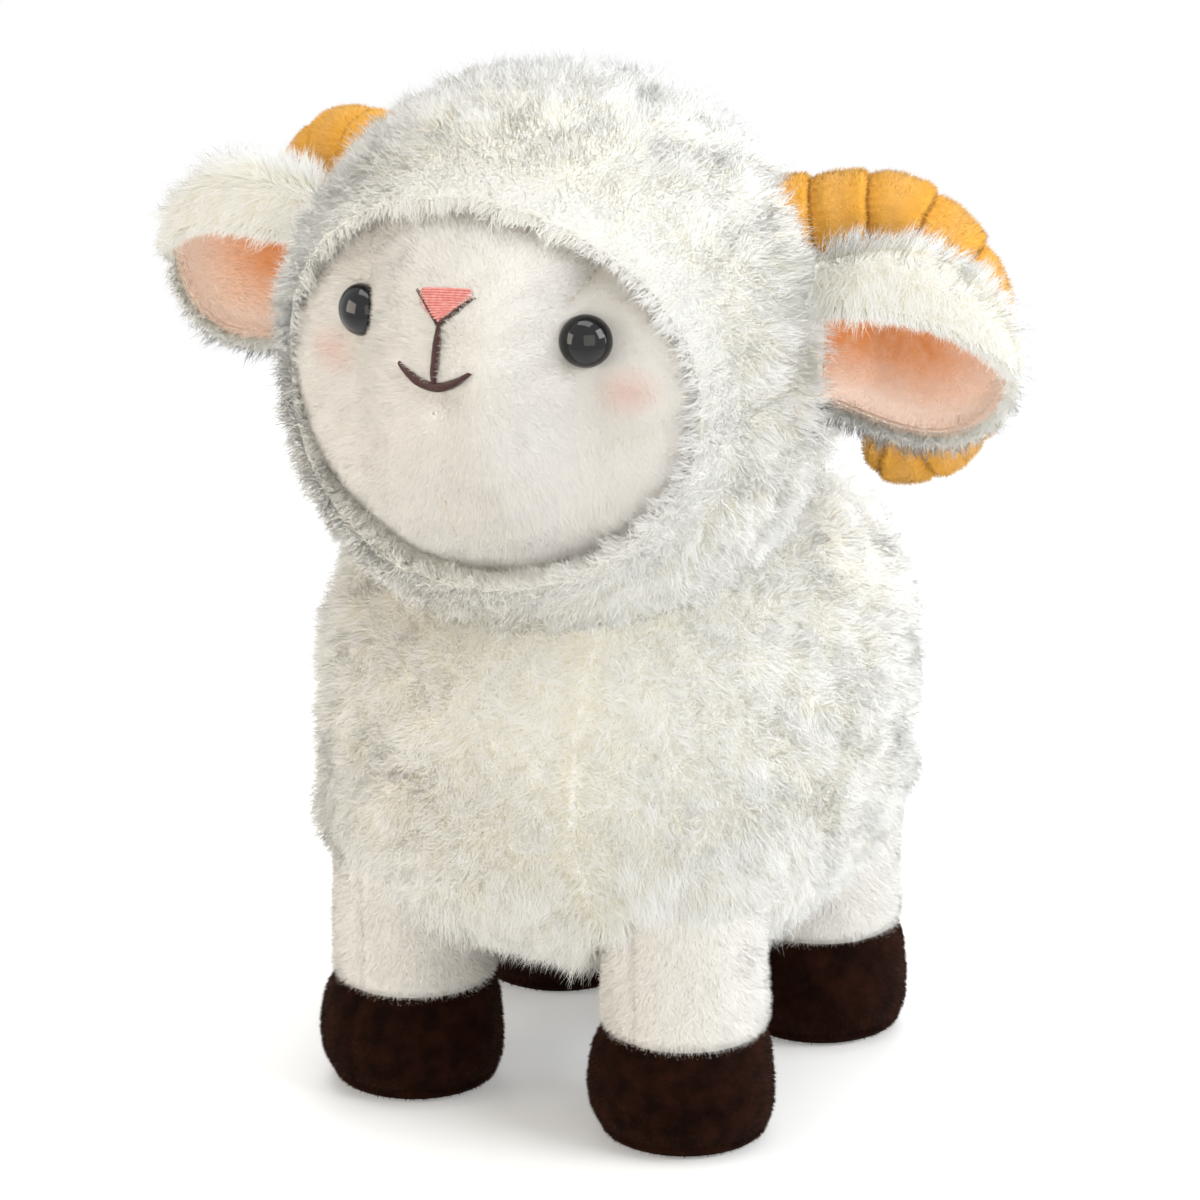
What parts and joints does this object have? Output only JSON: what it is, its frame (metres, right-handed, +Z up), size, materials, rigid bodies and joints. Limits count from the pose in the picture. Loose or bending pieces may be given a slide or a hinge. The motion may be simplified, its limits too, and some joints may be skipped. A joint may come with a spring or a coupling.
{
  "type": "plush sheep",
  "caption": "Stuffed toy sheep with a long-pile cover, short-pile face, cupped ears, curled horns and brown-hoofed legs, standing on flat soles.",
  "frame": {"origin": "centre of the bounding box's bottom face, level with the four soles", "axes": "+Z up, the face looks along -Y, and the sheep's own left side is at +X"},
  "size_m": [0.2178, 0.2022, 0.25],
  "materials": {
    "long_fur": "long curly off-white pile",
    "short_fur": "short smooth cream pile",
    "filling": "loose white polyester fibre",
    "ear_pink": "short pink pile",
    "horn_tan": "short tan pile",
    "hoof_brown": "short dark brown pile",
    "eye_black": "polished black",
    "washer_white": "matt white",
    "nose_pink": "pink satin stitch",
    "thread_brown": "dark brown embroidery thread"
  },
  "bodies": {
    "torso": {"body_cover": "long_fur", "body_stuffing": "filling"},
    "head": {"head_cover": "long_fur", "head_stuffing": "filling", "face_panel": "short_fur", "eye_left": "eye_black", "eye_right": "eye_black", "eye_washer_left": "washer_white", "eye_washer_right": "washer_white", "nose_embroidery": "nose_pink", "nose_outline": "thread_brown", "mouth_embroidery": "thread_brown", "horn_left_cover": "horn_tan", "horn_left_stuffing": "filling", "horn_right_cover": "horn_tan", "horn_right_stuffing": "filling"},
    "ear_left": {"ear_left_outer": "long_fur", "ear_left_lining": "ear_pink"},
    "ear_right": {"ear_right_outer": "long_fur", "ear_right_lining": "ear_pink"},
    "leg_front_left": {"leg_front_left_cover": "short_fur", "leg_front_left_stuffing": "filling", "hoof_front_left_cover": "hoof_brown", "sole_front_left": "hoof_brown"},
    "leg_front_right": {"leg_front_right_cover": "short_fur", "leg_front_right_stuffing": "filling", "hoof_front_right_cover": "hoof_brown", "sole_front_right": "hoof_brown"},
    "leg_rear_left": {"leg_rear_left_cover": "short_fur", "leg_rear_left_stuffing": "filling", "hoof_rear_left_cover": "hoof_brown", "sole_rear_left": "hoof_brown"},
    "leg_rear_right": {"leg_rear_right_cover": "short_fur", "leg_rear_right_stuffing": "filling", "hoof_rear_right_cover": "hoof_brown", "sole_rear_right": "hoof_brown"},
    "tail": {"tail": "long_fur"}
  },
  "joints": [
    {"name": "neck_nod", "type": "hinge", "parent": "torso", "child": "head", "pos_m": [0, -0.04038, 0.183], "axis": [1, 0, 0], "range_deg": [-6, 6], "stiffness_Nm_per_rad": 3},
    {"name": "ear_left_flop", "type": "hinge", "parent": "head", "child": "ear_left", "pos_m": [0.06181, -0.03638, 0.195], "axis": [0, 0, -1], "range_deg": [-5, 20], "stiffness_Nm_per_rad": 0.05},
    {"name": "ear_right_flop", "type": "hinge", "parent": "head", "child": "ear_right", "pos_m": [-0.06181, -0.03638, 0.195], "axis": [0, 0, 1], "range_deg": [-5, 20], "stiffness_Nm_per_rad": 0.05},
    {"name": "hip_front_left_swing", "type": "hinge", "parent": "torso", "child": "leg_front_left", "pos_m": [0.036, -0.04588, 0.068], "axis": [1, 0, 0], "range_deg": [-10, 10], "stiffness_Nm_per_rad": 1.5},
    {"name": "hip_front_right_swing", "type": "hinge", "parent": "torso", "child": "leg_front_right", "pos_m": [-0.036, -0.04588, 0.068], "axis": [1, 0, 0], "range_deg": [-10, 10], "stiffness_Nm_per_rad": 1.5},
    {"name": "hip_rear_left_swing", "type": "hinge", "parent": "torso", "child": "leg_rear_left", "pos_m": [0.036, 0.02912, 0.068], "axis": [1, 0, 0], "range_deg": [-10, 10], "stiffness_Nm_per_rad": 1.5},
    {"name": "hip_rear_right_swing", "type": "hinge", "parent": "torso", "child": "leg_rear_right", "pos_m": [-0.036, 0.02912, 0.068], "axis": [1, 0, 0], "range_deg": [-10, 10], "stiffness_Nm_per_rad": 1.5},
    {"name": "tail_wag", "type": "hinge", "parent": "torso", "child": "tail", "pos_m": [0, 0.07256, 0.112], "axis": [1, 0, 0], "range_deg": [-12, 12], "stiffness_Nm_per_rad": 0.05}
  ]
}
